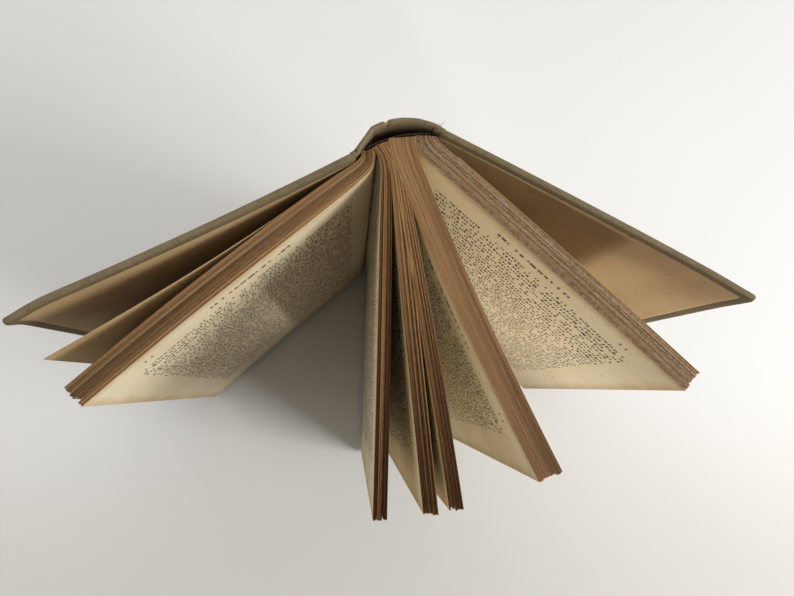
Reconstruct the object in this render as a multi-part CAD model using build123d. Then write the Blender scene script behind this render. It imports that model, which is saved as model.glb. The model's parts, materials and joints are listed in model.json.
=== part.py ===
from build123d import *
import math
import os

# Small cloth-cased hardback book, standing open on its tail edges with its leaves fanned.
# Frame: +Z towards the head of the book, +Y towards the spine, +X towards the back cover.
# The origin is the middle of the bounding box, on the surface the book stands on. Millimetres.

# --- driving dimensions -----------------------------------------------------------------

page_width = 107.0        # leaf, from the back of the block to the fore-edge
page_height = 162.0       # leaf, from tail to head
block_thick = 24.0        # closed leaves, measured along the rounded back
back_rise = 2.3           # how far the rounded back bulges
back_depth = 3.0          # depth of the sewn and glued back that joins the leaf groups

square = 2.5              # how far the boards stand past the leaves at head and tail
fore_square = 1.8         # how far the boards stand past the leaves at the fore-edge
board_thick = 1.7         # cover board
cloth_thick = 0.25        # book cloth
turn_in = 14.0            # cloth folded round onto the inside of a board
spine_turn_in = 12.0      # cloth folded over at the head and tail of the spine
pastedown_thick = 0.15    # endpaper half glued to the board
pastedown_margin = 2.3    # cloth border left bare above and below a pastedown
fore_margin = 3.6         # and along its fore-edge, where the cloth is left wider
leaf_thick = 0.2          # free half of an endpaper
inlay_thick = 0.5         # card in the spine of the case
mull_thick = 0.3          # open cotton glued to the back of the block
mull_inset = 6.0          # how far the mull stops short of the leaves' head and tail
lining_thick = 0.3        # paper glued over the mull
glued_inset = 2.0         # how far mull and lining stop short of the corners of the back

spine_tilt = 14.0            # turn of the spine against the covers' middle plane, degrees
front_cover_angle = -153.4   # direction of the front cover seen from above, degrees
back_cover_angle = -28.1     # direction of the back cover seen from above, degrees
joint_leg = 8.8              # cloth joint between the front board and the spine card
joint_leg_heading = 56.0     # direction of that joint seen from above, degrees
hollow_rise = 7.0            # crown of the case spine above the chord of the back
front_joint_reach = 1.33     # how far outside the block's corner the front board's inner face starts
front_joint_rise = -1.36     # and how far above the chord of the back
back_joint_reach = -0.34     # the same two for the back board
back_joint_rise = 0.54

glue_gap = 0.05           # film of glue between curved sheets laid on each other
hinge_gap = 0.3           # bare run on each side of a hinge axis, from axis to cloth
board_gap = 0.7           # from a hinge axis to the spine edge of its board

# A leaf group leaves the back in one direction and swings over a short bend to its lean.
# name, share of the block, leaving angle, lean, curl to the fore-edge, bend, fore-edge thickness
leaf_groups = [
    ("front", 0.160, -76, -142.0, 4.0, 4.0, 7.0),
    ("thin", 0.075, -50, -91.0, -1.0, 5.5, 3.9),
    ("middle", 0.075, -57, -85.0, 0.0, 8.5, 4.2),
    ("split", 0.070, -59, -80.0, -2.5, 6.5, 4.1),
    ("centre", 0.335, -85, -70.0, 6.0, 5.5, 7.3),
    ("back", 0.285, -92, -41.8, -2.0, 3.0, 7.0),
]
spread_length = 15.0      # run over which a group loosens from its root to its full thickness
endpaper_start = 12.0     # where a free endpaper leaves the shoulder of the block
flyleaf_lift = 9.5        # gap between the lifted front endpaper and the block at the fore-edge
flyleaf_rest = 30.0       # how far the front endpaper lies on the block before it lifts

# --- the plan of the spine --------------------------------------------------------------

board_height = page_height + 2 * square
cover_width = page_width - back_rise + fore_square
half_cloth = cloth_thick / 2
tilt = math.radians(spine_tilt)
back_radius = (block_thick / 2) ** 2 / (2 * back_rise) + back_rise / 2
back_centre = Vector(math.sin(tilt), -math.cos(tilt)) * (back_radius - back_rise)


def heading_vector(degrees):
    """Unit vector in plan."""
    return Vector(math.cos(math.radians(degrees)), math.sin(math.radians(degrees)))


def in_spine(u, v):
    """Plan point from spine coordinates: u along the chord of the back, v outwards."""
    return heading_vector(spine_tilt) * u + heading_vector(spine_tilt + 90) * v


def on_back(u, rise=0.0):
    """Plan point at arc length u along the rounded back, lifted by rise."""
    swing = math.degrees(u / back_radius)
    return back_centre + heading_vector(90 + spine_tilt - swing) * (back_radius + rise)


front_outward = heading_vector(front_cover_angle - 90)
back_outward = heading_vector(back_cover_angle + 90)
front_hinge = in_spine(-block_thick / 2 - front_joint_reach, front_joint_rise) + front_outward * board_thick
back_hinge = in_spine(block_thick / 2 + back_joint_reach, back_joint_rise) + back_outward * board_thick


def standing(region, bottom, height):
    """Upright solid on a plan region."""
    return Pos(0, 0, bottom) * extrude(region, height)


# --- leaves -----------------------------------------------------------------------------


def leaf_stations(group, offset_at, start=0.0, count=24):
    """Points along a leaf of a group, set to its right by offset_at(distance, thickness).

    The heading at distance s is lean + curl*s/width + (leave - lean)*exp(-(s/bend)^2), and the
    group's thickness goes from its root to its fore-edge value as exp(-s/spread_length).
    """
    name, share, leave, lean, curl, bend, tip_thick = group
    before = sum(other[1] for other in leaf_groups[:leaf_groups.index(group)])
    root_thick = share * block_thick
    spot = on_back((before + share / 2 - 0.5) * block_thick)
    wanted = [start + (page_width - start) * (i / (count - 1)) ** 1.6 for i in range(count)]
    steps = 420
    step = page_width / steps
    points = []
    for i in range(steps + 1):
        s = i * step
        heading = lean + curl * s / page_width + (leave - lean) * math.exp(-(s / bend) ** 2)
        if s >= wanted[len(points)] - step / 2:
            thick = tip_thick + (root_thick - tip_thick) * math.exp(-s / spread_length)
            points.append(spot + heading_vector(heading - 90) * offset_at(s, thick))
        spot = spot + heading_vector(heading) * step
    return points


def band(side_a, side_b):
    """Plan region between two smooth runs of points."""
    return make_face([
        Spline(*side_a),
        Line(side_a[-1], side_b[-1]),
        Spline(*reversed(side_b)),
        Line(side_b[0], side_a[0]),
    ])


def back_strip(inner, outer, reach):
    """Plan region of a sheet on the rounded back, between two heights above it."""
    low = ThreePointArc(on_back(-reach, inner), on_back(0, inner), on_back(reach, inner))
    high = ThreePointArc(on_back(reach, outer), on_back(0, outer), on_back(-reach, outer))
    return make_face([low, Line(low @ 1, high @ 0), high, Line(high @ 1, low @ 0)])


def text_block():
    """All the leaves as one solid: the fanned groups on their sewn back."""
    plan = back_strip(-back_depth, 0, block_thick / 2)
    for group in leaf_groups:
        right = leaf_stations(group, lambda s, thick: thick / 2)
        left = leaf_stations(group, lambda s, thick: -thick / 2)
        plan = plan + band(right, left)
    return standing(plan - back_strip(0, back_depth, block_thick / 2 + back_depth), square, page_height)


def free_endpaper(group, side, lift):
    """Leaf on one side of a group (1 right, -1 left of its travel), raised by lift(distance)."""

    def face(depth):
        return leaf_stations(group, lambda s, thick: side * (thick / 2 + glue_gap + lift(s) + depth),
                             endpaper_start)

    return standing(band(face(0), face(leaf_thick)), square, page_height)


def front_free_endpaper():
    """Free leaf that lies on the front group and lifts away towards the fore-edge."""
    run = page_width - flyleaf_rest
    return free_endpaper(leaf_groups[0], 1, lambda s: flyleaf_lift * (max(0, s - flyleaf_rest) / run) ** 1.6)


def back_free_endpaper():
    """Free leaf that lies flat on the back group."""
    return free_endpaper(leaf_groups[-1], -1, lambda s: 0)


# --- what is glued to the back ----------------------------------------------------------

glued_reach = block_thick / 2 - glued_inset


def spine_mull():
    """Open cotton cloth glued to the sewn back."""
    region = back_strip(glue_gap, glue_gap + mull_thick, glued_reach)
    return standing(region, square + mull_inset, page_height - 2 * mull_inset)


def spine_lining():
    """Paper glued over the mull."""
    low = 2 * glue_gap + mull_thick
    return standing(back_strip(low, low + lining_thick, glued_reach), square, page_height)


# --- the spine of the case --------------------------------------------------------------

flap_depth = half_cloth + inlay_thick + 2 * glue_gap     # from cloth middle to the folded-in cloth


def case_spine(depth):
    """Plan region inside the case spine's cloth, drawn in by depth and run on past both joints."""
    crease = front_hinge + heading_vector(joint_leg_heading) * joint_leg
    below = in_spine(0, -block_thick / 2)
    region = make_face([
        Line(front_hinge, crease),
        ThreePointArc(crease, in_spine(1, hollow_rise), back_hinge),
        Line(back_hinge, back_hinge + below),
        Line(back_hinge + below, front_hinge + below),
        Line(front_hinge + below, front_hinge),
    ])
    return offset(region, -depth, kind=Kind.INTERSECTION)


def case_strip(outer, inner, clear):
    """Plan region between two depths of the case spine, above both joints and clear of their axes."""
    across = back_hinge - front_hinge
    up = Vector(-across.Y, across.X)
    above = make_face(Polyline(front_hinge - across, back_hinge + across, back_hinge + across + up,
                               front_hinge - across + up, close=True))
    strip = (case_spine(outer) - case_spine(inner)) & above
    return strip - Pos(front_hinge) * Circle(clear) - Pos(back_hinge) * Circle(clear)


def spine_inlay():
    """Card that keeps the case spine in shape, between the cloth and its folded-in ends."""
    region = case_strip(half_cloth + glue_gap, flap_depth - glue_gap, 2 * board_gap)
    return standing(region, cloth_thick, board_height - 2 * cloth_thick)


def spine_cloth():
    """Cloth round the spine from joint to joint, folded in over the card at head and tail."""
    solid = standing(case_strip(-half_cloth, half_cloth, hinge_gap), 0, board_height)
    cap = case_strip(half_cloth, flap_depth + cloth_thick, hinge_gap)
    flap = case_strip(flap_depth, flap_depth + cloth_thick, hinge_gap)
    for cap_bottom, flap_bottom in ((0, 0), (board_height - cloth_thick, board_height - spine_turn_in)):
        solid = solid + standing(cap, cap_bottom, cloth_thick) + standing(flap, flap_bottom, spine_turn_in)
    return solid


# --- the two covers ---------------------------------------------------------------------

# hinge axis, direction, and the side (1 left, -1 right of that direction) the leaves are on
covers = {
    "front": (front_hinge, front_cover_angle, 1),
    "back": (back_hinge, back_cover_angle, -1),
}
board_face = half_cloth + board_thick     # inner face of a board, from the middle of its cloth


def slab(cover, reach, depth, height):
    """Upright box on a cover: reach out from its hinge, depth in from its cloth, and height."""
    hinge, angle, side = covers[cover]
    out = heading_vector(angle)
    inward = heading_vector(angle + 90 * side)
    corners = [hinge + out * reach[i] + inward * depth[j] for i, j in ((0, 0), (1, 0), (1, 1), (0, 1))]
    return standing(make_face(Polyline(*corners, close=True)), height[0], height[1] - height[0])


def board(cover):
    """Stiff board, wrapped by the cloth on three edges."""
    return slab(cover, (board_gap, cover_width - cloth_thick), (half_cloth, board_face),
                (cloth_thick, board_height - cloth_thick))


def cover_cloth(cover):
    """Cloth over the outside of a board, turned in over its head, tail and fore-edge."""
    deep = board_face + cloth_thick
    whole = slab(cover, (hinge_gap, cover_width), (-half_cloth, deep), (0, board_height))
    pocket = slab(cover, (0, cover_width - cloth_thick), (half_cloth, board_face),
                  (cloth_thick, board_height - cloth_thick))
    window = slab(cover, (0, cover_width - turn_in), (half_cloth, 2 * deep),
                  (turn_in, board_height - turn_in))
    joint = slab(cover, (0, board_gap), (half_cloth, 2 * deep), (-square, board_height + square))
    return whole - pocket - window - joint


def pastedown(cover):
    """Endpaper half glued inside a board, stepping up over the edges of the turned-in cloth."""
    top = board_face + cloth_thick + pastedown_thick
    border = slab(cover, (board_gap, cover_width - fore_margin), (board_face + cloth_thick, top),
                  (pastedown_margin, board_height - pastedown_margin))
    centre = slab(cover, (board_gap, cover_width - turn_in), (board_face, top),
                  (turn_in, board_height - turn_in))
    step_in = turn_in + pastedown_thick
    recess = slab(cover, (0, cover_width - step_in), (board_face + pastedown_thick, 2 * top),
                  (step_in, board_height - step_in))
    return border + centre - recess


# --- the whole book ---------------------------------------------------------------------

pieces = {
    "text_block": text_block(),
    "front_free_endpaper": front_free_endpaper(),
    "back_free_endpaper": back_free_endpaper(),
    "spine_mull": spine_mull(),
    "spine_lining": spine_lining(),
    "spine_inlay": spine_inlay(),
    "spine_cloth": spine_cloth(),
}
for side in covers:
    pieces[side + "_board"] = board(side)
    pieces[side + "_cover_cloth"] = cover_cloth(side)
    pieces[side + "_pastedown"] = pastedown(side)

box = Compound(children=[piece.solid() for piece in pieces.values()]).bounding_box()
to_frame = Pos(-box.center().X, -box.center().Y, -box.min.Z)

os.makedirs("parts", exist_ok=True)
for name, piece in pieces.items():
    export_step(to_frame * piece.solid(), f"parts/{name}.step")

for side, (hinge, angle, inner) in covers.items():
    axis_spot = to_frame * Pos(hinge)
    tail_spot = to_frame * Pos(hinge + heading_vector(angle) * cover_width / 2)
    print(side, "hinge axis", axis_spot.position, "tail edge middle", tail_spot.position)
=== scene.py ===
import json
import math

import bpy
import numpy as np
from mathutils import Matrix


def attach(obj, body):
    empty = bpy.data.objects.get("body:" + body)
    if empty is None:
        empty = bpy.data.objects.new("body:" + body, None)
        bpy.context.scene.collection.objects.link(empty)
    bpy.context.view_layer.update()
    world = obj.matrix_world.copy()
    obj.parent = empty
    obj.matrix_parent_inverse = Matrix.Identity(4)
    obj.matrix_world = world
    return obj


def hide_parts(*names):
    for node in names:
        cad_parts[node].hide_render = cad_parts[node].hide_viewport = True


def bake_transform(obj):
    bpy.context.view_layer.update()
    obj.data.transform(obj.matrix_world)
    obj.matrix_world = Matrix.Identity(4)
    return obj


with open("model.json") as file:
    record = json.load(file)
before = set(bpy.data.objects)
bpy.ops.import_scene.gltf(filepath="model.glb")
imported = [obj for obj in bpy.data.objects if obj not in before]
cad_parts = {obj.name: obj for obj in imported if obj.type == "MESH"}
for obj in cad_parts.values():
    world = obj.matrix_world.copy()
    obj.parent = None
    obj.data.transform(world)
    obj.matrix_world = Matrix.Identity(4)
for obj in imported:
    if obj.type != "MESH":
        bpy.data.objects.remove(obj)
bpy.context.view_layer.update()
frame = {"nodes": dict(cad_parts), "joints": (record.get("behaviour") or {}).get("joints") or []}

# --- camera, light and floor ------------------------------------------------------------
# The viewer stands over the head of the book and looks down its length, a little from the
# fore-edge side. A window lights it from the right, a low lamp reaches in between the leaves, and
# the room is pale behind the back and dim on the viewer's side.

mm = 0.001
scene = bpy.context.scene
scene.view_settings.view_transform = "Standard"

camera = bpy.data.objects.new("camera", bpy.data.cameras.new("camera"))
scene.collection.objects.link(camera)
camera.data.sensor_width = 36.0
camera.data.lens = 27.07
camera.data.clip_start = 0.01
camera.location = (-13.47 * mm, -21.04 * mm, 332.5 * mm)
camera.rotation_euler = [math.radians(turn) for turn in (8.385, -4.454, -0.656)]
scene.camera = camera

lamp_colour = (1.0, 0.99, 0.97)


def lamp(name, kind, azimuth, height, distance, target, **settings):
    """Lamp that looks at a target point from an azimuth and a height above level, in degrees."""
    light = bpy.data.objects.new(name, bpy.data.lights.new(name, kind))
    scene.collection.objects.link(light)
    light.data.color = lamp_colour
    for key, value in settings.items():
        setattr(light.data, key, value)
    azimuth, height = math.radians(azimuth), math.radians(height)
    towards = np.array([math.cos(height) * math.cos(azimuth), math.cos(height) * math.sin(azimuth),
                        math.sin(height)])
    light.location = np.array(target) + towards * distance
    light.rotation_euler = (math.pi / 2 - height, 0, math.pi / 2 + azimuth)


lamp("window", "AREA", azimuth=-25, height=36, distance=1.1, target=(0, 0, 0),
     energy=7.4, shape="RECTANGLE", size=0.45, size_y=0.40)
lamp("low_lamp", "SPOT", azimuth=-66, height=5, distance=0.9, target=(61 * mm, 9 * mm, 90 * mm),
     energy=42, spot_size=math.radians(11), spot_blend=0.8, shadow_soft_size=0.06)

room = bpy.data.worlds.new("room")
scene.world = room
room.use_nodes = True


class Recipe:
    """A material or node group being written: each method adds one node and returns its output."""

    def __init__(self, tree):
        self.tree = tree

    def add(self, kind, sockets, out=0, **settings):
        """One node: its settings, its input sockets by number or name, and the output wanted."""
        node = self.tree.nodes.new(kind)
        for key, value in settings.items():
            setattr(node, key, value)
        for socket, value in sockets.items():
            if isinstance(value, bpy.types.NodeSocket):
                self.tree.links.new(value, node.inputs[socket])
            else:
                node.inputs[socket].default_value = value
        return node.outputs[out]

    def calc(self, operation, a, b=0.0, clamp=False):
        return self.add("ShaderNodeMath", {0: a, 1: b}, operation=operation, use_clamp=clamp)

    def fade(self, value, low, high, start=0.0, end=1.0):
        """start below low, end above high, and smooth between."""
        return self.add("ShaderNodeMapRange", {0: value, 1: low, 2: high, 3: start, 4: end},
                        interpolation_type="SMOOTHSTEP")

    def product(self, a, b):
        return self.calc("MULTIPLY", a, b)

    def noise(self, place, scale, detail=2.0):
        return self.add("ShaderNodeTexNoise", {"Vector": place, "Scale": scale, "Detail": detail})

    def tint(self, mask, below, above):
        """The colour below where the mask is 0, going to the one above where it is 1."""
        return self.add("ShaderNodeMix", {0: mask, 6: below, 7: above}, out=2, data_type="RGBA")

    def coordinates(self, kind):
        return self.add("ShaderNodeTexCoord", {}, out=kind)

    def axis(self, vector, letter):
        return self.add("ShaderNodeSeparateXYZ", {0: vector}, out=letter)

    def attribute(self, name):
        return self.add("ShaderNodeAttribute", {}, out="Fac", attribute_name=name)

    def group(self, tree, sockets):
        return self.add("ShaderNodeGroup", sockets, node_tree=tree)


def new_material(name):
    """An empty material with its recipe and its Principled shader."""
    material = bpy.data.materials.new(name)
    material.use_nodes = True
    return material, Recipe(material.node_tree), material.node_tree.nodes["Principled BSDF"]


def dress(recipe, shader, colour, roughness, height=None, relief=0.1 * mm):
    """Colour, roughness and bump height on the shader; relief is the bump's depth in metres."""
    recipe.tree.links.new(colour, shader.inputs["Base Color"])
    shader.inputs["Specular IOR Level"].default_value = 0.25
    shader.inputs["Roughness"].default_value = roughness
    if height is not None:
        bump = recipe.add("ShaderNodeBump", {"Height": height, "Distance": relief, "Strength": 1.0})
        recipe.tree.links.new(bump, shader.inputs["Normal"])


def room_light():
    """Room light: dim overhead and on the near side, where the viewer leans in."""
    bright_side = (0.30, 0.95, 0.0)
    recipe = Recipe(room.node_tree)
    direction = recipe.coordinates("Generated")
    share = recipe.add("ShaderNodeVectorMath", {0: direction, 1: bright_side}, out="Value",
                       operation="DOT_PRODUCT")
    round_about = recipe.fade(share, -0.75, 0.3, 0.06, 1.45)
    overhead = recipe.fade(recipe.axis(direction, "Z"), 0.70, 0.99, 1.0, 0.15)
    strength = recipe.product(round_about, overhead)
    background = room.node_tree.nodes["Background"]
    recipe.tree.links.new(strength, background.inputs["Strength"])
    background.inputs["Color"].default_value = (1.0, 0.985, 0.96, 1)


room_light()


def floor_paper():
    """White sheet that the book stands on, with a faint unevenness and painted shade that darkens its near
    side.
    """
    material, recipe, shader = new_material("floor_paper")
    place = recipe.coordinates("Object")
    cloud = recipe.noise(place, 6.0, 2.0)
    colour = recipe.tint(cloud, (0.80, 0.80, 0.79, 1), (0.84, 0.84, 0.83, 1))
    # painted shade: the sheet turns darker towards the near side, where the viewer stands over it
    painted_near_shade = recipe.fade(recipe.axis(place, "Y"), -0.16, 0.0, 0.75, 0.0)
    colour = recipe.tint(painted_near_shade, colour, (0.60, 0.575, 0.52, 1))
    dress(recipe, shader, colour, 0.9)
    return material


floor_size, floor_drop = 3.0, 0.1 * mm
floor_mesh = bpy.data.meshes.new("floor")
floor_corners = [(-1, -1), (1, -1), (1, 1), (-1, 1)]
floor_mesh.from_pydata([(x * floor_size, y * floor_size, -floor_drop) for x, y in floor_corners],
                       [], [(0, 1, 2, 3)])
floor = bpy.data.objects.new("floor", floor_mesh)
scene.collection.objects.link(floor)
floor_mesh.materials.append(floor_paper())

# --- the leaves -------------------------------------------------------------------------
# About 190 leaves of uncoated paper, folded and sewn in sections, browned at their edges, with painted
# shade in the edges' tone that darkens them towards the fore-edge.
# They stand fanned in six groups. Each leaf leaves the rounded back one way and swings over a
# short bend to its group's lean.

page_width = 107 * mm
page_height = 162 * mm
square = 2.5 * mm
block_thick = 24 * mm
back_rise = 2.3 * mm
spine_tilt = 14.0
front_angle = -153.4
back_angle = -28.1
board_thick = 1.7 * mm
front_joint_reach = 1.33 * mm
front_joint_rise = -1.36 * mm
spread_length = 15 * mm
head_z = square + page_height


def way(degrees):
    """Unit vectors in plan for headings in degrees."""
    angle = np.radians(degrees)
    return np.stack([np.cos(angle), np.sin(angle)], -1)


hinges = {joint["child"]: np.array(joint["pos_m"][:2]) for joint in frame["joints"]}
back_middle = (hinges["front_cover"] - way(front_angle - 90) * board_thick
               + way(spine_tilt) * (block_thick / 2 + front_joint_reach)
               - way(spine_tilt + 90) * front_joint_rise)
back_radius = (block_thick / 2) ** 2 / (2 * back_rise) + back_rise / 2
back_centre = back_middle - way(spine_tilt + 90) * (back_radius - back_rise)


def in_spine(along, out):
    """Plan point: along the chord of the back from its middle, and out towards the case."""
    return back_middle + way(spine_tilt) * along + way(spine_tilt + 90) * out


def on_back(arc, rise=0.0):
    """Plan points at an arc length along the rounded back, lifted by rise."""
    turn = np.degrees(np.asarray(arc) / back_radius)
    return back_centre + way(spine_tilt + 90 - turn) * np.asarray(back_radius + rise)[..., None]


def age_group():
    """Shader group: paper going from its base colour to a stain in soft clouds and small spots."""
    tree = bpy.data.node_groups.new("ageing", "ShaderNodeTree")
    for name, kind in (("Place", "NodeSocketVector"), ("Base", "NodeSocketColor"),
                       ("Stain", "NodeSocketColor"), ("Cloud Size", "NodeSocketFloat"),
                       ("Stain Amount", "NodeSocketFloat"), ("Spots", "NodeSocketFloat")):
        tree.interface.new_socket(name, in_out="INPUT", socket_type=kind)
    tree.interface.new_socket("Color", in_out="OUTPUT", socket_type="NodeSocketColor")
    recipe = Recipe(tree)
    given = tree.nodes.new("NodeGroupInput").outputs
    cloud = recipe.noise(given["Place"], given["Cloud Size"], 4.0)
    stained = recipe.calc("MULTIPLY", recipe.fade(cloud, 0.35, 0.7), given["Stain Amount"], clamp=True)
    colour = recipe.tint(stained, given["Base"], given["Stain"])
    spots = recipe.fade(recipe.noise(given["Place"], 420.0, 1.0), 0.70, 0.76)
    colour = recipe.tint(recipe.product(spots, given["Spots"]), colour, (0.16, 0.085, 0.03, 1))
    fibre = recipe.noise(given["Place"], 2600.0, 3.0)
    colour = recipe.tint(recipe.fade(fibre, 0.3, 0.7, 0.0, 0.10), colour, (0.05, 0.035, 0.02, 1))
    tree.links.new(colour, tree.nodes.new("NodeGroupOutput").inputs["Color"])
    return tree


ageing = age_group()


def printed_page():
    """Toned page: rows of small marks stand for the type, with a row of larger ones over them."""
    material, recipe, shader = new_material("printed_page")
    row_pitch, letter_width, first_row, row_count = 3.1, 1.2, 13.0, 41
    text_left, text_right = 12.0, 94.0
    title_width, title_top, title_height = 2.5, 6.4, 2.2
    title_left, title_right, number_left, number_right = 36.0, 66.0, 86.0, 91.0
    stretch_pitch, stretch_most = 0.45, 2.0
    row_jump, row_shift = 5.3, 0.618
    uv = recipe.coordinates("UV")
    across = recipe.product(recipe.axis(uv, "X"), page_width / mm)
    below_head = recipe.product(recipe.calc("SUBTRACT", 1.0, recipe.axis(uv, "Y")), page_height / mm)

    def between(value, low, high, soft):
        """1 from low to high, with soft ends inside them."""
        return recipe.product(recipe.fade(value, low, low + soft),
                              recipe.fade(value, high - soft, high, 1.0, 0.0))

    def letters(width, row, gap_share, body_top, body_foot):
        """Marks one to a cell of a varying width: some reach over or under, and gaps part the words."""
        row_number = recipe.calc("FLOOR", row)
        spot = recipe.add("ShaderNodeCombineXYZ", {0: recipe.product(across, stretch_pitch),
                                                   1: recipe.product(row_number, row_jump), 2: 0.0})
        stretch = recipe.noise(spot, 1.0, 0.0)
        along = recipe.calc("ADD", recipe.calc("DIVIDE", across, width),
                            recipe.product(stretch, stretch_most))
        place_in_line = recipe.calc("ADD", along, recipe.product(row_number, row_shift))
        number = recipe.calc("FLOOR", place_in_line)
        in_cell = recipe.calc("SUBTRACT", place_in_line, number)
        in_row = recipe.calc("SUBTRACT", row, row_number)
        cell = recipe.add("ShaderNodeCombineXYZ", {0: number, 1: row_number, 2: 0.0})
        gap_chance = recipe.add("ShaderNodeTexWhiteNoise", {"Vector": cell}, out="Value")
        shape = recipe.noise(cell, 3.7, 0.0)
        reach_over = recipe.product(recipe.calc("GREATER_THAN", shape, 0.56), 0.18)
        reach_under = recipe.product(recipe.calc("LESS_THAN", shape, 0.40), 0.15)
        top = recipe.calc("SUBTRACT", body_top, reach_over)
        foot = recipe.calc("ADD", body_foot, reach_under)
        upright = recipe.product(recipe.fade(recipe.calc("SUBTRACT", in_row, top), -0.05, 0.05),
                                 recipe.fade(recipe.calc("SUBTRACT", foot, in_row), -0.05, 0.05))
        mark = recipe.product(upright, between(in_cell, 0.08, 0.82, 0.16))
        return recipe.product(mark, recipe.calc("GREATER_THAN", gap_chance, gap_share))

    row = recipe.calc("DIVIDE", recipe.calc("SUBTRACT", below_head, first_row), row_pitch)
    column = recipe.product(between(across, text_left, text_right, 0.3), between(row, 0.0, row_count, 0.05))
    text = recipe.product(letters(letter_width, row, 0.19, 0.36, 0.78), column)
    title_row = recipe.calc("DIVIDE", recipe.calc("SUBTRACT", below_head, title_top), title_height)
    title_span = recipe.calc("MAXIMUM", between(across, title_left, title_right, 0.3),
                             between(across, number_left, number_right, 0.3))
    title_box = recipe.product(title_span, between(title_row, 0.0, 1.0, 0.05))
    title = recipe.product(letters(title_width, title_row, 0.10, 0.18, 0.85), title_box)
    ink = recipe.calc("MAXIMUM", text, title)
    place = recipe.coordinates("Object")
    sheet = recipe.group(ageing, {"Place": place, "Base": (0.74, 0.645, 0.46, 1),
                                  "Stain": (0.60, 0.45, 0.26, 1), "Cloud Size": 28.0,
                                  "Stain Amount": 0.35, "Spots": 0.3})
    to_edge = recipe.calc("MINIMUM", below_head, recipe.calc("SUBTRACT", page_width / mm, across))
    ragged = recipe.calc("ADD", to_edge, recipe.product(recipe.noise(place, 160.0, 3.0), 5.0))
    sheet = recipe.tint(recipe.fade(ragged, 2.0, 7.5, 0.55, 0.0), sheet, (0.45, 0.27, 0.11, 1))
    colour = recipe.tint(recipe.product(ink, 0.90), sheet, (0.035, 0.027, 0.020, 1))
    dress(recipe, shader, colour, 0.8, recipe.noise(place, 900.0, 4.0), 0.06 * mm)
    return material


def leaf_edge():
    """Browned rough edges of the leaves, lighter or darker leaf by leaf, with dust on top; the tone also
    carries painted shade, darker towards each group's fore-edge.
    """
    material, recipe, shader = new_material("leaf_edge")
    place = recipe.coordinates("Object")
    # tone holds each leaf's own tone and the painted shade of its group, darker towards the fore-edge
    tone = recipe.attribute("tone")
    dust = recipe.attribute("dust")
    rough = recipe.noise(place, 1700.0, 3.0)
    shade = recipe.calc("ADD", recipe.product(tone, 0.75), recipe.product(rough, 0.35))
    colour = recipe.tint(recipe.fade(shade, 0.20, 1.0), (0.032, 0.010, 0.002, 1), (0.45, 0.245, 0.105, 1))
    grit = recipe.product(dust, recipe.fade(recipe.noise(place, 1300.0, 4.0), 0.36, 0.66))
    colour = recipe.tint(grit, colour, (0.37, 0.295, 0.215, 1))
    dress(recipe, shader, colour, 0.9, rough, 0.12 * mm)
    shader.inputs["Specular IOR Level"].default_value = 0.08
    return material


def make_piece(name, points, faces, materials, body, uv=None, face_material=None, marks=()):
    """Piece from an array of points and of faces; uv is per point, marks are per-face attributes."""
    sharp_from = math.radians(40)
    mesh = bpy.data.meshes.new(name)
    mesh.from_pydata(points.reshape(-1, 3), [], faces)
    for material in materials:
        mesh.materials.append(material)
    if uv is not None:
        corner = np.empty(len(mesh.loops), np.int32)
        mesh.loops.foreach_get("vertex_index", corner)
        mesh.uv_layers.new(name="UVMap").data.foreach_set("uv", uv.reshape(-1, 2)[corner].ravel())
    if face_material is not None:
        mesh.polygons.foreach_set("material_index", face_material.astype(np.int32))
    for mark, values in marks:
        mesh.attributes.new(mark, "FLOAT", "FACE").data.foreach_set("value", values)
    mesh.polygons.foreach_set("use_smooth", np.ones(len(mesh.polygons), bool))
    mesh.set_sharp_from_angle(angle=sharp_from)
    piece = bpy.data.objects.new(name, mesh)
    scene.collection.objects.link(piece)
    if body:
        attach(piece, body)
    return piece


def tube_faces(stations, around):
    """Quads of a closed tube of points [stations, around], with both ends filled by quads."""
    i = np.arange(stations - 1)[:, None]
    j = np.arange(around)[None]
    k = (j + 1) % around
    sides = np.stack([i * around + j, i * around + k, (i + 1) * around + k, (i + 1) * around + j], -1)
    half = np.arange(around // 2 - 1)
    start = np.stack([half, around - 1 - half, around - 2 - half, half + 1], -1)
    end = start[:, ::-1] + (stations - 1) * around
    return np.concatenate([sides.reshape(-1, 4), start, end])


# name, share of the block, leaving angle, lean, curl, bend (mm), fore-edge thickness (mm),
# bundles that the leaves cling together in, dust on the head edges, and how pale the edges are
# at the root and at the fore-edge; these two tones also paint shade, darker towards the fore-edge
leaf_groups = [
    ("front_leaves", 0.160, -76, -142.0, 4.0, 4.0, 7.0, 4, 0.05, 0.50, 0.28),
    ("thin_leaves", 0.075, -50, -91.0, -1.0, 5.5, 3.9, 3, 0.03, 0.45, 0.0),
    ("middle_leaves", 0.075, -57, -85.0, 0.0, 8.5, 4.2, 3, 0.03, 0.80, 0.0),
    ("split_leaves", 0.070, -59, -80.0, -2.5, 6.5, 4.1, 3, 0.03, 0.80, 0.04),
    ("centre_leaves", 0.335, -85, -70.0, 6.0, 5.5, 7.3, 4, 0.25, 1.0, 0.55),
    ("back_leaves", 0.285, -92, -41.8, -2.0, 3.0, 7.0, 3, 0.95, 0.62, 0.56),
]
leaf_total = 190
leaf_materials = [printed_page(), leaf_edge()]

# gaps as shares of a leaf's thickness: after each leaf, after an odd one, and after a bundle
leaf_gap, odd_gap, bundle_gap = 0.16, 0.25, 1.0
# how far bundles and single leaves stand out of line, at the fore-edge and at the head
bundle_reach, leaf_reach = 0.32 * mm, 0.12 * mm
bundle_rise, leaf_rise = 0.12 * mm, 0.10 * mm
ripple_depth, head_wave = 0.012 * mm, 0.12 * mm
# how much the edges' tone differs from bundle to bundle and from leaf to leaf
bundle_tone, leaf_tone = 0.10, 0.16


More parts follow.
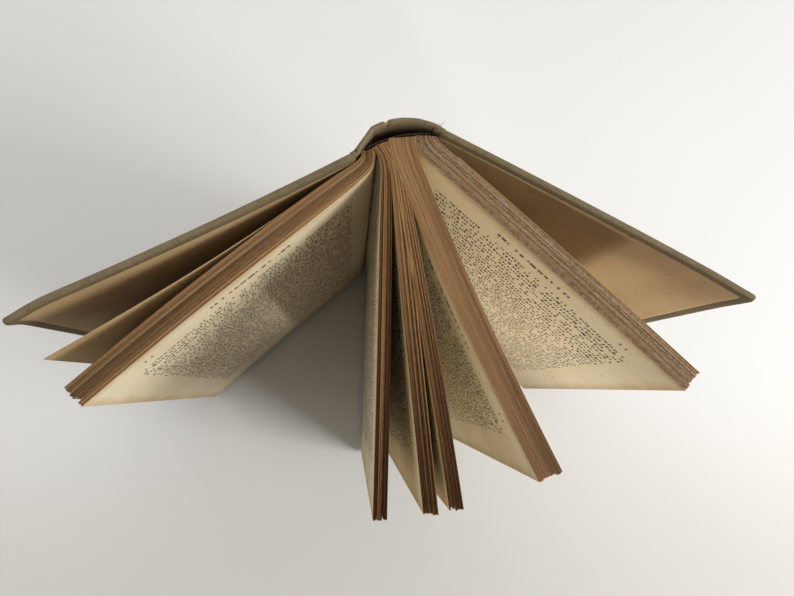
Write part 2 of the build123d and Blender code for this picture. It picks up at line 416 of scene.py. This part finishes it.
def leaf_lines(group, before, count=30):
    """Middle line, right-hand way and thickness of a group at count stations, close near the root.

    heading = lean + curl*s/width + (leave - lean)*exp(-(s/bend)^2), and the line is its integral;
    thickness goes from the group's share of the back to its fore-edge value as exp(-s/spread).
    """
    name, share, leave, lean, curl, bend, tip = group[:7]
    fine_count = 600
    fine = np.linspace(0, page_width, fine_count)
    heading = lean + curl * fine / page_width + (leave - lean) * np.exp(-(fine / (bend * mm)) ** 2)
    step = fine[1] - fine[0]
    line = on_back((before + share / 2 - 0.5) * block_thick) + np.cumsum(way(heading) * step, axis=0)
    wanted = page_width * np.linspace(0, 1, count) ** 1.5
    pick = np.minimum(np.searchsorted(fine, wanted), fine_count - 1)
    thick = tip * mm + (share * block_thick - tip * mm) * np.exp(-fine / spread_length)
    return fine[pick], line[pick], way(heading - 90)[pick], thick[pick]


def leaf_bundle(group, before, seed):
    """All leaves of a group as closed thin sheets, joined in one piece.

    Leaf k sits at (0.5 - middle of its share)*thickness to the right of the group's line. Its
    section at each station is a loop up its right face and down its left. Length varies by leaf
    and bundle as (s/width)^2, height by leaf and bundle, and the faces ripple as a sine of the height.
    """
    name, share = group[:2]
    tip_bundles, dust, root_tone_and_shade, tip_tone_and_shade = group[7:]
    random = np.random.default_rng(seed)
    count = round(share * leaf_total)
    weight = 1 + 0.5 * random.random(count)
    bundle = np.sort(random.integers(0, tip_bundles, count))
    gap = leaf_gap + odd_gap * random.random(count) ** 3
    gap = gap + bundle_gap * np.append(np.diff(bundle) > 0, False)
    total = (weight + gap).sum()
    edge = np.cumsum(weight + gap) - gap
    middle = (edge - weight / 2) / total
    shift = random.normal(0, bundle_reach, tip_bundles)[bundle] + random.normal(0, leaf_reach, count)
    s, line, right, thick = leaf_lines(group, before)
    t = s / page_width
    up = np.array([0.0, 0.02, 0.35, 0.7, 0.98, 1.0])
    rows = len(up)
    side = np.concatenate([np.full(rows, 0.5), np.full(rows, -0.5)])
    height = np.concatenate([up, up[::-1]])
    outwards = np.gradient(line, axis=0)
    outwards /= np.linalg.norm(outwards, axis=1)[:, None]
    reach = (shift[:, None] * t ** 2)[..., None] * outwards
    ripple = random.normal(0, 1, (count, 1, 1)) * np.sin(height * 5 + random.random((count, 1, 1)) * 6)
    offset = (0.5 - middle[:, None]) * thick[None]
    offset = offset[..., None] + side * (weight / total)[:, None, None] * thick[None, :, None]
    offset = offset + ripple * ripple_depth * t[None, :, None]
    plan = (line[None] + reach)[:, :, None] + right[None, :, None] * offset[..., None]
    rise = random.normal(0, leaf_rise, count) + random.normal(0, bundle_rise, tip_bundles)[bundle]
    wave = head_wave * np.sin(t * 9 + random.random((count, 1)) * 2)
    z = square + height * page_height + height * (rise[:, None] + wave)[..., None]
    points = np.concatenate([plan, np.broadcast_to(z[..., None], plan.shape[:3] + (1,))], -1)
    blank = np.zeros((count, 1, 1))
    uv = np.stack(np.broadcast_arrays(t[None, :, None], height[None, None], blank)[:2], -1)
    one = tube_faces(len(s), 2 * rows)
    faces = (one[None] + (np.arange(count) * len(s) * 2 * rows)[:, None, None]).reshape(-1, 4)
    position = np.tile(np.arange(2 * rows), len(s) - 1)
    is_edge = np.concatenate([(position == rows - 1) | (position == 2 * rows - 1),
                              np.ones(len(one) - len(position), bool)])
    own_tone = random.normal(0, leaf_tone, count) + random.normal(0, bundle_tone, tip_bundles)[bundle]
    side_t = np.repeat((t[1:] + t[:-1]) / 2, 2 * rows)
    face_t = np.concatenate([side_t, np.zeros(rows - 1), np.ones(rows - 1)])
    # painted shade: each group's edge tone falls from its root value to a darker fore-edge value
    tone = np.clip(root_tone_and_shade + (tip_tone_and_shade - root_tone_and_shade) * face_t[None] + own_tone[:, None], 0, 1)
    marks = (("tone", tone.ravel()), ("dust", np.full(len(faces), dust)))
    piece = make_piece(name, points, faces, leaf_materials, "root", uv,
                       np.tile(is_edge, count), marks)
    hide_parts("text_block")


share_before = 0.0
for number, group in enumerate(leaf_groups):
    leaf_bundle(group, share_before, seed=11 + number)
    share_before += group[1]

# --- sewn back --------------------------------------------------------------------------
# The folds of the sections, sewn with linen thread and brushed with hide glue: a rounded strip
# of ribs that closes the block.

section_count = 24
sewn_depth = 2.6 * mm
groove_depth = 0.22 * mm


def glued_folds():
    """Dark hide glue over paper folds."""
    material, recipe, shader = new_material("glued_folds")
    place = recipe.coordinates("Object")
    colour = recipe.group(ageing, {"Place": place, "Base": (0.20, 0.13, 0.075, 1),
                                   "Stain": (0.08, 0.045, 0.02, 1), "Cloud Size": 220.0,
                                   "Stain Amount": 0.8, "Spots": 0.3})
    dress(recipe, shader, colour, 0.6, recipe.noise(place, 900.0), 0.15 * mm)
    return material


def sewn_back():
    """Strip of the back: its outer face is a groove_depth*(1 - |sin|) in over each section's arc,
    and its inner face sewn_depth in."""
    arc = np.linspace(-0.5, 0.5, section_count * 6 + 1) * (block_thick - 0.4 * mm)
    rib = -groove_depth * (1 - np.abs(np.sin(np.linspace(0, math.pi * section_count, len(arc)))))
    outer = on_back(arc, rib)
    inner = on_back(arc * 0.97, -sewn_depth)
    low, high = square + 0.3 * mm, head_z - 0.35 * mm
    loop = [(outer, low), (outer, high), (inner, high), (inner, low)]
    points = np.stack([np.column_stack([plan, np.full(len(arc), z)]) for plan, z in loop], 1)
    piece = make_piece("sewn_back", points, tube_faces(len(arc), 4), [glued_folds()], "root")
    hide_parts("text_block")


sewn_back()

# --- endpapers, mull, lining and card ---------------------------------------------------
# Sheets of the case and of the glued back. The endpapers are tan and mottled.
# Their shape is the frame's own, so each only gets its paper.

cover_width = page_width - back_rise + 1.8 * mm
board_height = page_height + 2 * square


def toned_endpaper():
    """Tan endpaper with brown clouds and darker soil in specks."""
    material, recipe, shader = new_material("toned_endpaper")
    place = recipe.coordinates("Object")
    colour = recipe.group(ageing, {"Place": place, "Base": (0.49, 0.345, 0.18, 1),
                                   "Stain": (0.32, 0.20, 0.088, 1), "Cloud Size": 34.0,
                                   "Stain Amount": 0.55, "Spots": 0.5})
    soil = recipe.fade(recipe.noise(place, 16.0, 5.0), 0.40, 0.80, 0.0, 0.35)
    colour = recipe.tint(soil, colour, (0.22, 0.14, 0.07, 1))
    dress(recipe, shader, colour, 0.75, recipe.noise(place, 1100.0, 4.0), 0.06 * mm)
    return material


def plain_sheet(name, base, stain, grain):
    """Plain paper or card with clouds and grain."""
    material, recipe, shader = new_material(name)
    place = recipe.coordinates("Object")
    colour = recipe.group(ageing, {"Place": place, "Base": base, "Stain": stain, "Cloud Size": 90.0,
                                   "Stain Amount": 0.6, "Spots": 0.4})
    dress(recipe, shader, colour, 0.85, recipe.noise(place, grain, 3.0), 0.12 * mm)
    return material


def weave_group():
    """Shader group: plain weave, over and under threads as the product of two sines."""
    tree = bpy.data.node_groups.new("weave", "ShaderNodeTree")
    tree.interface.new_socket("Threads", in_out="INPUT", socket_type="NodeSocketVector")
    tree.interface.new_socket("Height", in_out="OUTPUT", socket_type="NodeSocketFloat")
    recipe = Recipe(tree)
    threads = tree.nodes.new("NodeGroupInput").outputs["Threads"]
    across = recipe.calc("SINE", recipe.product(recipe.axis(threads, "X"), math.pi))
    along = recipe.calc("SINE", recipe.product(recipe.axis(threads, "Y"), math.pi))
    over = recipe.product(across, along)
    slub = recipe.noise(threads, 0.35, 3.0)
    height = recipe.calc("ADD", recipe.product(over, 0.35), slub)
    tree.links.new(height, tree.nodes.new("NodeGroupOutput").inputs["Height"])
    return tree


weave = weave_group()


def open_cotton():
    """Starched open cotton, stiff with glue, with painted shade in the low parts of its weave."""
    material, recipe, shader = new_material("open_cotton")
    place = recipe.coordinates("Object")
    threads = recipe.add("ShaderNodeVectorMath", {0: place, 1: (1100,) * 3}, operation="MULTIPLY")
    height = recipe.group(weave, {"Threads": threads})
    # painted shade: colour goes from dark in the weave's low parts to light on its high parts
    colour = recipe.tint(recipe.fade(height, 0.2, 0.9), (0.045, 0.032, 0.022, 1), (0.11, 0.085, 0.058, 1))
    dress(recipe, shader, colour, 0.9, height, 0.1 * mm)
    return material


endpaper = toned_endpaper()
node_finishes = {
    "front_free_endpaper": endpaper,
    "back_free_endpaper": endpaper,
    "spine_mull": open_cotton(),
    "spine_lining": plain_sheet("lining_paper", (0.045, 0.030, 0.020, 1), (0.025, 0.016, 0.010, 1), 900.0),
    "spine_inlay": plain_sheet("spine_card", (0.35, 0.30, 0.22, 1), (0.22, 0.18, 0.12, 1), 700.0),
}
for node, material in node_finishes.items():
    mesh = frame["nodes"][node].data
    mesh.materials.clear()
    mesh.materials.append(material)

# --- the covers -------------------------------------------------------------------------
# Each cover is a grey-brown board wrapped in olive book cloth, turned in on three edges, with
# the endpaper pasted over the turned-in edges. The front one is bowed, and its head corner is
# bumped inwards. The cloth is rubbed pale along the edges.

cloth_thick = 0.25 * mm
pasted_thick = 0.15 * mm
turn_in = 14 * mm
pasted_margin = 2.3 * mm
fore_margin = 3.6 * mm
hinge_gap = 0.3 * mm
board_gap = 0.7 * mm
outer_face = -cloth_thick / 2
board_face = cloth_thick / 2 + board_thick
inner_face = board_face + cloth_thick
board_clear = 0.02 * mm
board_inset = cloth_thick + board_clear
cover_grid = (64, 84)
uv_scale = 10

# hinge, heading, side the leaves are on, bow, inward curl of the head corner, its spread
cover_shapes = {
    "front": (hinges["front_cover"], front_angle, 1, 1.1 * mm, 1.5 * mm, 7 * mm),
    "back": (hinges["back_cover"], back_angle, -1, -0.5 * mm, 0.5 * mm, 12 * mm),
}


def on_cover(cover, reach, height, depth):
    """Points of a cover: reach out from its hinge, height, and depth in from its cloth.

    The board bows as bow*4*t*(1 - t)*h for t = reach/width and h from 0.3 at the tail to 1 at the
    head, and its head corner curls in as curl*exp(-(distance to the corner/spread)^2).
    """
    hinge, angle, side, bow, curl, spread = cover_shapes[cover]
    t = reach / cover_width
    rise = height / board_height
    corner = np.hypot(cover_width - reach, board_height - height)
    depth = depth + bow * 4 * t * (1 - t) * (0.3 + 0.7 * rise) + curl * np.exp(-(corner / spread) ** 2)
    plan = hinge + way(angle) * reach[..., None] + way(angle + 90 * side) * depth[..., None]
    return np.concatenate([plan, height[..., None]], -1)


def sheet_faces(rows, columns):
    """Quads of an open grid [rows, columns]."""
    index = np.arange(rows * columns).reshape(rows, columns)
    return np.stack([index[:-1, :-1], index[1:, :-1], index[1:, 1:], index[:-1, 1:]], -1).reshape(-1, 4)


def plate(reach, height, depth, rim, corner, count, keep_inner=None):
    """Slab with a half-round rim: flat coordinates [n, 3] of reach, height and depth, and faces.

    Both faces are one grid; between them run rings at angles of a half circle. Corners are
    rounded by scaling a point's offset from the corner's centre by max/hypot of its two parts.
    keep_inner(reach, height) says which cells of the inner face are kept.
    """
    a, b = np.meshgrid(np.linspace(-1, 1, count[0]), np.linspace(-1, 1, count[1]), indexing="ij")
    middle = [sum(pair) / 2 for pair in (reach, height, depth)]
    half = [(pair[1] - pair[0]) / 2 for pair in (reach, height, depth)]
    index = np.arange(a.size).reshape(a.shape)
    border = np.concatenate([index[:-1, 0], index[-1, :-1], index[:0:-1, -1], index[0, :0:-1]])
    flat_a, flat_b = a.ravel(), b.ravel()
    layers, sizes = [], []
    for degrees in (-90, -50, 0, 50, 90):
        grid = abs(degrees) == 90
        u, v = (flat_a, flat_b) if grid else (flat_a[border], flat_b[border])
        shrink = rim * (1 - math.cos(math.radians(degrees)))
        x, z = u * (half[0] - shrink), v * (half[1] - shrink)
        dx, dz = np.abs(x) - half[0] + corner, np.abs(z) - half[1] + corner
        near = (dx > 0) & (dz > 0)
        scale = np.where(near, np.maximum(dx, dz) / np.maximum(np.hypot(dx, dz), 1e-9), 1)
        x = np.where(near, np.sign(x) * (half[0] - corner + dx * scale), x)
        z = np.where(near, np.sign(z) * (half[1] - corner + dz * scale), z)
        y = np.full(len(x), half[2] * math.sin(math.radians(degrees)))
        layers.append(np.column_stack([x + middle[0], z + middle[1], y + middle[2]]))
        sizes.append(len(x))
    start = np.cumsum([0] + sizes)
    quads = sheet_faces(*count)
    inner = quads
    points = np.concatenate(layers)
    if keep_inner is not None:
        centre = points[start[4] + quads].mean(1)
        inner = quads[keep_inner(centre[:, 0], centre[:, 1])]
    loops = [border] + [start[k] + np.arange(len(border)) for k in (1, 2, 3)] + [start[4] + border]
    rings = [np.stack([low, np.roll(low, -1), np.roll(high, -1), high], -1)
             for low, high in zip(loops, loops[1:])]
    faces = np.concatenate([quads[:, ::-1]] + rings + [inner + start[4]])
    return points, faces


def cover_piece(name, cover, flat, faces, materials, sink=None):
    """Places a plate on a cover. Its UV is reach and height in tenths of a metre."""
    depth = flat[:, 2] if sink is None else flat[:, 2] - sink(flat[:, 0], flat[:, 1])
    points = on_cover(cover, flat[:, 0], flat[:, 1], depth)
    if cover_shapes[cover][2] > 0:
        faces = faces[:, ::-1]
    return make_piece(name, points, faces, materials, cover + "_cover", flat[:, :2] * uv_scale)


def thicken(piece, thickness, offset):
    """A wall on a surface: offset -1 lays it all inwards, and 0 half each way."""
    wall = piece.modifiers.new("thickness", "SOLIDIFY")
    wall.thickness = thickness
    wall.offset = offset


def book_cloth():
    """Olive-khaki cloth: woven, rubbed pale on its rim, soiled in clouds, with painted shade in the low
    parts of the weave.
    """
    material, recipe, shader = new_material("book_cloth")
    place = recipe.coordinates("Object")
    uv = recipe.coordinates("UV")
    threads = recipe.add("ShaderNodeVectorMath", {0: uv, 1: (230,) * 3}, operation="MULTIPLY")
    height = recipe.group(weave, {"Threads": threads})
    cloud = recipe.fade(recipe.noise(place, 24.0, 7.0), 0.25, 0.80)
    colour = recipe.tint(cloud, (0.205, 0.150, 0.085, 1), (0.120, 0.088, 0.048, 1))
    # painted shade: the low parts of the weave are darkened
    colour = recipe.tint(recipe.fade(height, 0.35, 0.85, 0.35, 0.0), colour, (0.10, 0.075, 0.035, 1))
    from_fore = recipe.calc("SUBTRACT", cover_width * uv_scale, recipe.axis(uv, "X"))
    from_head = recipe.calc("SUBTRACT", board_height * uv_scale, recipe.axis(uv, "Y"))
    to_rim = recipe.calc("MINIMUM", from_fore, recipe.calc("MINIMUM", from_head, recipe.axis(uv, "Y")))
    rubbed = recipe.calc("ADD", to_rim, recipe.product(recipe.noise(place, 260.0, 4.0), 0.022))
    colour = recipe.tint(recipe.fade(rubbed, 0.008, 0.020, 0.30, 0.0), colour, (0.31, 0.24, 0.145, 1))
    soil = recipe.fade(recipe.noise(place, 1500.0, 5.0), 0.46, 0.74, 0.0, 0.5)
    colour = recipe.tint(soil, colour, (0.09, 0.065, 0.035, 1))
    dress(recipe, shader, colour, 0.85, height, 0.09 * mm)
    return material


cloth = book_cloth()
board_card = plain_sheet("board_card", (0.34, 0.27, 0.19, 1), (0.22, 0.17, 0.11, 1), 600.0)


def turned_in(reach, height):
    """Inner cells covered by the turned-in cloth: near head, tail and fore-edge."""
    return (reach > cover_width - turn_in) | (height < turn_in) | (height > board_height - turn_in)


def sunk_middle(reach, height):
    """How far the pasted sheet sinks inside the turned-in edges: 0.8 of a cloth's thickness, by a
    logistic step 1 mm long that lies step_in past the cloth's edge."""
    step_in, step_length = 3.5 * mm, 1.0 * mm
    to_step = np.minimum(np.minimum(height, board_height - height), cover_width - reach) - turn_in
    return 0.8 * cloth_thick / (1 + np.exp(-(to_step - step_in) / step_length))


def board_body(side):
    """The board, a hair inside its cloth."""
    flat, faces = plate(reach=(board_gap, cover_width - board_inset),
                        height=(board_inset, board_height - board_inset),
                        depth=(outer_face + board_inset, board_face - board_clear),
                        rim=0.5 * mm, corner=1.2 * mm, count=cover_grid)
    piece = cover_piece(side + "_board_body", side, flat, faces, [board_card])
    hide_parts(side + "_board")


def cloth_wrap(side):
    """The cloth over the outside of the board, its rim and the turned-in strip inside."""
    flat, faces = plate(reach=(hinge_gap, cover_width), height=(0, board_height),
                        depth=(outer_face, inner_face), rim=0.8 * mm, corner=1.6 * mm,
                        count=cover_grid, keep_inner=turned_in)
    piece = cover_piece(side + "_cloth_wrap", side, flat, faces, [cloth])
    thicken(piece, cloth_thick, -1)
    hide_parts(side + "_cover_cloth")


def pasted_sheet(side):
    """The glued half of the endpaper, over the turned-in cloth and down onto the board."""
    flat, faces = plate(reach=(board_gap, cover_width - fore_margin),
                        height=(pasted_margin, board_height - pasted_margin),
                        depth=(inner_face + 0.01 * mm, inner_face + pasted_thick),
                        rim=0.07 * mm, corner=0.5 * mm, count=cover_grid)
    piece = cover_piece(side + "_pasted_sheet", side, flat, faces, [endpaper], sunk_middle)
    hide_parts(side + "_pastedown")


for side in cover_shapes:
    board_body(side)
    cloth_wrap(side)
    pasted_sheet(side)

# --- the case spine ---------------------------------------------------------------------
# One strip of the same cloth from joint to joint, folded in over the card at head and tail. It
# keeps a sharp crease beside the front joint, and its head is torn in one place.

joint_leg = 8.8 * mm
joint_leg_heading = 56.0
hollow_rise = 7.0 * mm
spine_fold = 12 * mm
fold_depth = 0.85 * mm
tear_place, tear_width, tear_depth = 0.36, 0.02, 2.2 * mm
worn_length, roughness = 8 * mm, 0.12 * mm
cloth_start = 20 * mm


def spine_line(count_leg=14, count_arc=60):
    """Plan line of the case spine's cloth: the joint leg, then the arc over the hollow.

    The arc passes through the crease, the crown and the back joint; its centre is where the
    perpendicular bisectors of two chords meet.
    """
    start, end = hinges["front_cover"], hinges["back_cover"]
    crease = start + way(joint_leg_heading) * joint_leg
    crown = in_spine(1 * mm, hollow_rise)
    sides = np.array([crown - crease, end - crown])
    centre = np.linalg.solve(2 * sides, [crown @ crown - crease @ crease, end @ end - crown @ crown])
    radius = np.linalg.norm(crease - centre)
    first, last = [math.atan2(*(point - centre)[::-1]) for point in (crease, end)]
    last -= 2 * math.pi if last > first else 0
    turn = np.linspace(first, last, count_arc)
    leg = start + way(joint_leg_heading) * np.linspace(hinge_gap, joint_leg, count_leg)[:-1, None]
    arc = centre + radius * np.column_stack([np.cos(turn), np.sin(turn)])
    return np.concatenate([leg, arc])


def outward(line):
    """Unit normals on the left of a plan line."""
    along = np.gradient(line, axis=0)
    along /= np.linalg.norm(along, axis=1)[:, None]
    return np.column_stack([-along[:, 1], along[:, 0]])


def spine_wrap():
    """Cloth strip: its section goes up the inside, over the fold and down the outside.

    The profile is pairs of depth and height; at the head the height drops by the tear,
    tear_depth*exp(-((t - tear_place)/tear_width)^2), and by a small seeded roughness, over the
    worn_length below it.
    """
    line = spine_line()
    normal = outward(line)
    bend = np.radians(np.linspace(0, 180, 7))
    outer, inner = cloth_thick / 2, -fold_depth
    middle, half = (outer + inner) / 2, (outer - inner) / 2
    head = np.column_stack([middle + half * np.cos(bend), board_height - half + half * np.sin(bend)])
    tail = np.column_stack([middle - half * np.cos(bend), half - half * np.sin(bend)])
    wall = np.column_stack([np.full(40, outer), np.linspace(half, board_height - half, 42)[1:-1]])
    inside_head = np.array([[inner, board_height - drop] for drop in (2 * mm, 5 * mm, 9 * mm, spine_fold)])
    inside_tail = np.array([[inner, drop] for drop in (spine_fold, 7 * mm, 3 * mm)])
    profile = np.concatenate([inside_tail, tail, wall, head, inside_head])
    t = np.linspace(0, 1, len(line))
    random = np.random.default_rng(5)
    rough = np.convolve(random.normal(0, 1, len(t)), np.ones(3) / 3, "same") * roughness
    drop = tear_depth * np.exp(-((t - tear_place) / tear_width) ** 2) + np.abs(rough)
    near_head = np.clip((profile[:, 1] - board_height + worn_length) / worn_length, 0, 1) ** 2
    z = profile[None, :, 1] - drop[:, None] * near_head[None]
    plan = line[:, None] + normal[:, None] * profile[None, :, :1]
    points = np.concatenate([plan, z[..., None]], -1)
    reach = np.concatenate([[0], np.cumsum(np.linalg.norm(np.diff(line, axis=0), axis=1))])
    uv = np.stack(np.broadcast_arrays(reach[:, None] + cloth_start, profile[None, :, 1]), -1) * uv_scale
    faces = sheet_faces(*points.shape[:2])
    piece = make_piece("spine_wrap", points, faces, [cloth], "root", uv)
    thicken(piece, cloth_thick, -1)
    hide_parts("spine_cloth")


spine_wrap()


def joint_strip(side, spine_heading):
    """Doubled cloth that bridges a hinge, from a lap up the spine to a lap along the cover.

    Its plan line is spine_end*(1 - t)^2 + hinge*2*t*(1 - t) + cover_end*t^2, set in to the leaves.
    """
    hinge, angle, leaf_side = cover_shapes[side][:3]
    lap, doubled, set_in, end_gap = 1.6 * mm, 1.5 * mm, 0.6 * mm, 0.3 * mm
    across, upwards = 13, 30
    spine_end, cover_end = hinge + way(spine_heading) * lap, hinge + way(angle) * lap
    t = np.linspace(0, 1, across)[:, None]
    line = spine_end * (1 - t) ** 2 + hinge * 2 * t * (1 - t) + cover_end * t ** 2
    line = line + way(angle + 90 * leaf_side) * set_in
    height = np.linspace(end_gap, board_height - end_gap, upwards)
    level = np.broadcast_to(height[None, :, None], (across, upwards, 1))
    points = np.concatenate([np.repeat(line[:, None], upwards, 1), level], -1)
    uv = np.stack(np.broadcast_arrays(t * 2 * lap + cloth_start, height[None]), -1) * uv_scale
    faces = sheet_faces(across, upwards)
    piece = make_piece(side + "_joint_strip", points, faces, [cloth], None, uv)
    thicken(piece, doubled, 0)
    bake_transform(piece)


joint_strip("front", joint_leg_heading)
last_way = spine_line()[-2] - spine_line()[-1]
joint_strip("back", math.degrees(math.atan2(last_way[1], last_way[0])))

# --- frayed threads ---------------------------------------------------------------------
# Broken linen threads of the cloth and the sewing stand out of the worn head of the back
# joint, where the case has rubbed through.

thread_radius, thread_step = 0.10 * mm, 0.30 * mm
highest_thread = board_height + 1.5 * mm


def loose_threads(name, root, spread, count, seed):
    """Thin tubes that leave root and wander: each step's direction drifts at random."""
    random = np.random.default_rng(seed)
    steps, around = 7, 6
    points, faces = [], []
    for number in range(count):
        way_now = np.array([random.normal(0, 0.7), random.normal(0, 0.7), 0.25])
        spot = root + np.array([*random.normal(0, spread, 2), 0])
        line = []
        for step in range(steps):
            line.append(spot.copy())
            way_now = way_now + random.normal(0, 0.45, 3) * (1, 1, 0.4)
            spot = spot + way_now / np.linalg.norm(way_now) * thread_step
            spot[2] = min(spot[2], highest_thread)
        line = np.array(line)
        along = np.gradient(line, axis=0)
        along /= np.linalg.norm(along, axis=1)[:, None]
        first = np.cross(along, (0.3, 0.2, 0.93))
        first /= np.linalg.norm(first, axis=1)[:, None]
        second = np.cross(along, first)
        turn = np.linspace(0, 2 * math.pi, around, endpoint=False)
        ring = first[:, None] * np.cos(turn)[:, None] + second[:, None] * np.sin(turn)[:, None]
        points.append((line[:, None] + ring * thread_radius).reshape(-1, 3))
        faces.append(tube_faces(steps, around) + number * steps * around)
    make_piece(name, np.concatenate(points), np.concatenate(faces), [open_thread], "root")


open_thread = plain_sheet("linen_thread", (0.50, 0.42, 0.30, 1), (0.30, 0.22, 0.14, 1), 1500.0)
back_joint_head = np.array([*hinges["back_cover"], head_z])
loose_threads("back_joint_threads", root=back_joint_head + (0.3 * mm, -0.6 * mm, 1.6 * mm),
              spread=0.7 * mm, count=6, seed=3)
